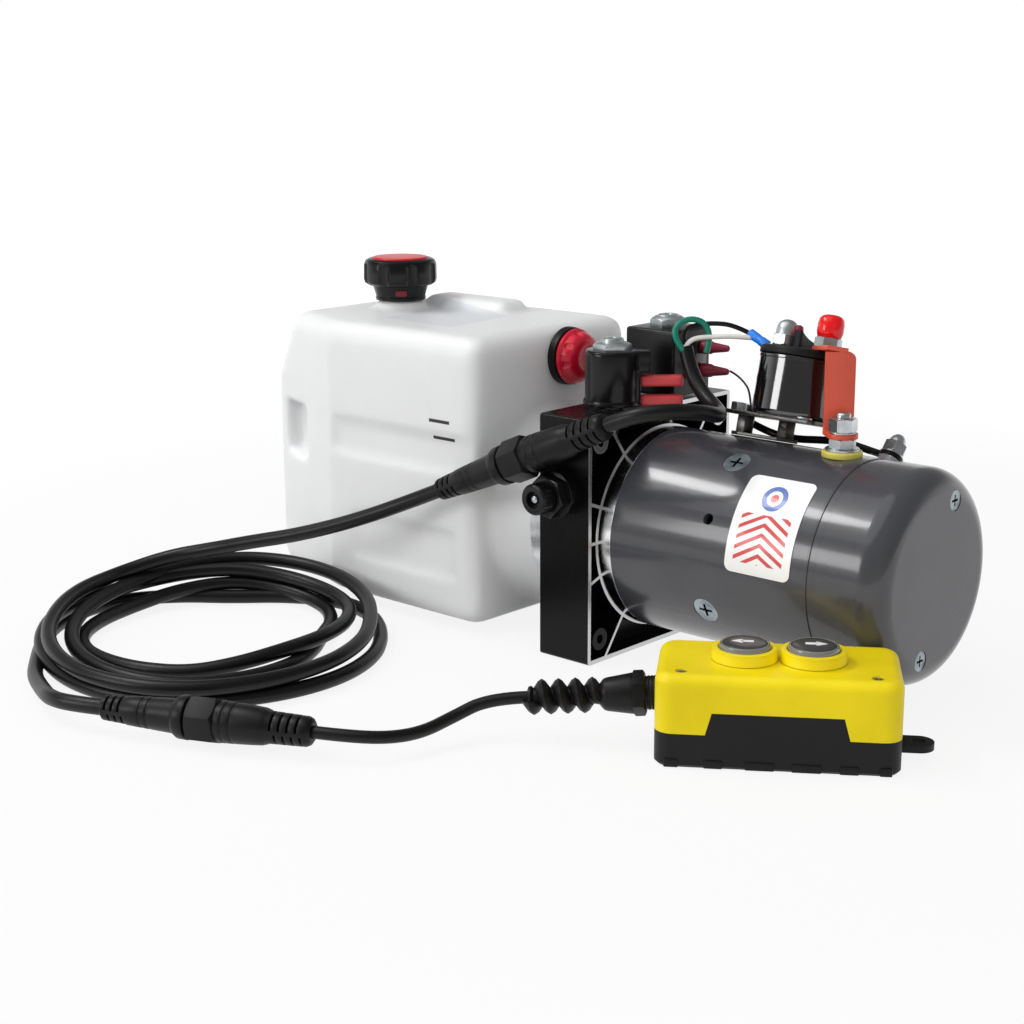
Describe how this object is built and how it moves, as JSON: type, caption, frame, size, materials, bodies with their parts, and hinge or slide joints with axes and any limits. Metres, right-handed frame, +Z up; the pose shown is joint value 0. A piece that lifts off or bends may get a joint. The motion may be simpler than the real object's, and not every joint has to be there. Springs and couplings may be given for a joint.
{
  "type": "hydraulic power unit",
  "caption": "Hydraulic power unit: translucent oil tank, black valve manifold with gear pump, grey DC motor with contactor, and a yellow push-button pendant on a loosely coiled cord.",
  "frame": {"origin": "centre of the manifold block's bottom face, midway between its foot holes", "axes": "+X along the motor shaft from manifold to motor end cap, +Z up, -Y the side of the relief valve"},
  "size_m": [0.5075, 0.3854, 0.2085],
  "materials": {
    "tank_plastic": "translucent natural polyethylene",
    "black_block": "satin black with machined edges",
    "steel": "satin",
    "zinc_steel": "bright zinc",
    "gear_steel": "ground",
    "cast_alloy": "as cast",
    "motor_paint": "semi-gloss grey",
    "motor_head": "turned",
    "copper_wound": "wound copper and iron",
    "bronze": "sintered",
    "brush_carbon": "moulded plate and carbon",
    "label_film": "printed film",
    "insulator_yellow": "moulded",
    "busbar_red": "coated copper",
    "black_plastic": "moulded",
    "seal_rubber": "matte",
    "boot_red": "soft",
    "spade_red": "soft vinyl",
    "cap_red": "moulded",
    "plug_red": "moulded",
    "wire_insulation": "vinyl",
    "cord_black": "matte",
    "pendant_yellow": "moulded",
    "pendant_black": "moulded",
    "button_grey": "moulded",
    "mesh": "woven"
  },
  "bodies": {
    "unit": {"manifold": "black_block", "relief_valve": "black_block", "valve_stems": "steel", "coil_front": "black_plastic", "coil_rear": "black_plastic", "coil_nuts": "zinc_steel", "spade_boots": "spade_red", "pump_body": "cast_alloy", "pump_cover": "cast_alloy", "pump_bolts": "steel", "oil_tubes": "steel", "suction_strainer": "mesh", "tank_shell": "tank_plastic", "tank_seals": "seal_rubber", "tank_clamp": "zinc_steel", "motor_ring": "motor_head", "motor_housing": "motor_paint", "motor_end_cap": "motor_paint", "motor_bearings": "bronze", "field_magnets": "gear_steel", "brush_gear": "brush_carbon", "motor_screws": "zinc_steel", "motor_label": "label_film", "terminal_insulator": "insulator_yellow", "terminal_stud": "zinc_steel", "ground_stud": "zinc_steel", "contactor_bracket": "zinc_steel", "bracket_bolts": "zinc_steel", "contactor_can": "black_plastic", "contactor_cap": "black_plastic", "contactor_studs": "zinc_steel", "stud_boot": "boot_red", "busbar": "busbar_red", "harness_cable": "cord_black", "harness_wires": "wire_insulation", "connector_upper": "cord_black", "connector_lower": "cord_black", "cord_upper": "cord_black", "cord_coil": "cord_black", "cord_lower": "cord_black", "pendant_base": "pendant_black", "pendant_cover": "pendant_yellow", "pendant_screws": "zinc_steel", "pendant_switch": "black_plastic", "strain_relief": "seal_rubber"},
    "rotor": {"armature": "copper_wound", "drive_gear": "gear_steel"},
    "idler": {"idler_gear": "gear_steel"},
    "filler_cap": {"filler_cap": "black_plastic", "cap_disc": "cap_red"},
    "fill_plug": {"fill_plug": "plug_red"},
    "button_left": {"button_left": "button_grey"},
    "button_right": {"button_right": "button_grey"},
    "contactor_plunger": {"contactor_plunger": "steel"},
    "valve_plunger_front": {"valve_plunger_front": "steel"},
    "valve_plunger_rear": {"valve_plunger_rear": "steel"},
    "relief_poppet": {"relief_poppet": "steel"},
    "connector_nut_upper": {"connector_nut_upper": "black_plastic"},
    "connector_nut_lower": {"connector_nut_lower": "black_plastic"}
  },
  "joints": [
    {"name": "motor_spin", "type": "hinge", "parent": "unit", "child": "rotor", "pos_m": [0, 0, 0.0695], "axis": [1, 0, 0], "continuous": true},
    {"name": "idler_spin", "type": "hinge", "parent": "unit", "child": "idler", "pos_m": [0, 0, 0.0455], "axis": [1, 0, 0], "continuous": true},
    {"name": "filler_cap_lift", "type": "slide", "parent": "unit", "child": "filler_cap", "axis": [0, 0, 1], "range_m": [0, 0.15]},
    {"name": "fill_plug_pull", "type": "slide", "parent": "unit", "child": "fill_plug", "axis": [1, 0, 0], "range_m": [0, 0.012]},
    {"name": "button_left_press", "type": "slide", "parent": "unit", "child": "button_left", "axis": [0, 0, -1], "range_m": [0, 0.0025], "stiffness_N_per_m": 800, "springref_m": -0.001},
    {"name": "button_right_press", "type": "slide", "parent": "unit", "child": "button_right", "axis": [0, 0, -1], "range_m": [0, 0.0025], "stiffness_N_per_m": 800, "springref_m": -0.001},
    {"name": "contactor_pull", "type": "slide", "parent": "unit", "child": "contactor_plunger", "axis": [0, 0.2419, 0.9703], "range_m": [0, 0.0025], "stiffness_N_per_m": 600, "springref_m": -0.001},
    {"name": "valve_front_lift", "type": "slide", "parent": "unit", "child": "valve_plunger_front", "axis": [0, 0, 1], "range_m": [0, 0.0025], "stiffness_N_per_m": 600, "springref_m": -0.001},
    {"name": "valve_rear_lift", "type": "slide", "parent": "unit", "child": "valve_plunger_rear", "axis": [0, 0, 1], "range_m": [0, 0.0025], "stiffness_N_per_m": 600, "springref_m": -0.001},
    {"name": "relief_lift", "type": "slide", "parent": "unit", "child": "relief_poppet", "axis": [0, -1, 0], "range_m": [0, 0.003], "stiffness_N_per_m": 2000, "springref_m": -0.002},
    {"name": "connector_nut_upper_turn", "type": "hinge", "parent": "unit", "child": "connector_nut_upper", "pos_m": [-0.0171, -0.07981, 0.11608], "axis": [0.9124, 0.0645, 0.4043], "continuous": true},
    {"name": "connector_nut_lower_turn", "type": "hinge", "parent": "unit", "child": "connector_nut_lower", "pos_m": [-0.04355, -0.28009, 0.013], "axis": [0.9142, 0.4052, 0], "continuous": true}
  ],
  "couplings": [
    {"joint": "idler_spin", "follows": "motor_spin", "ratio": -1}
  ]
}
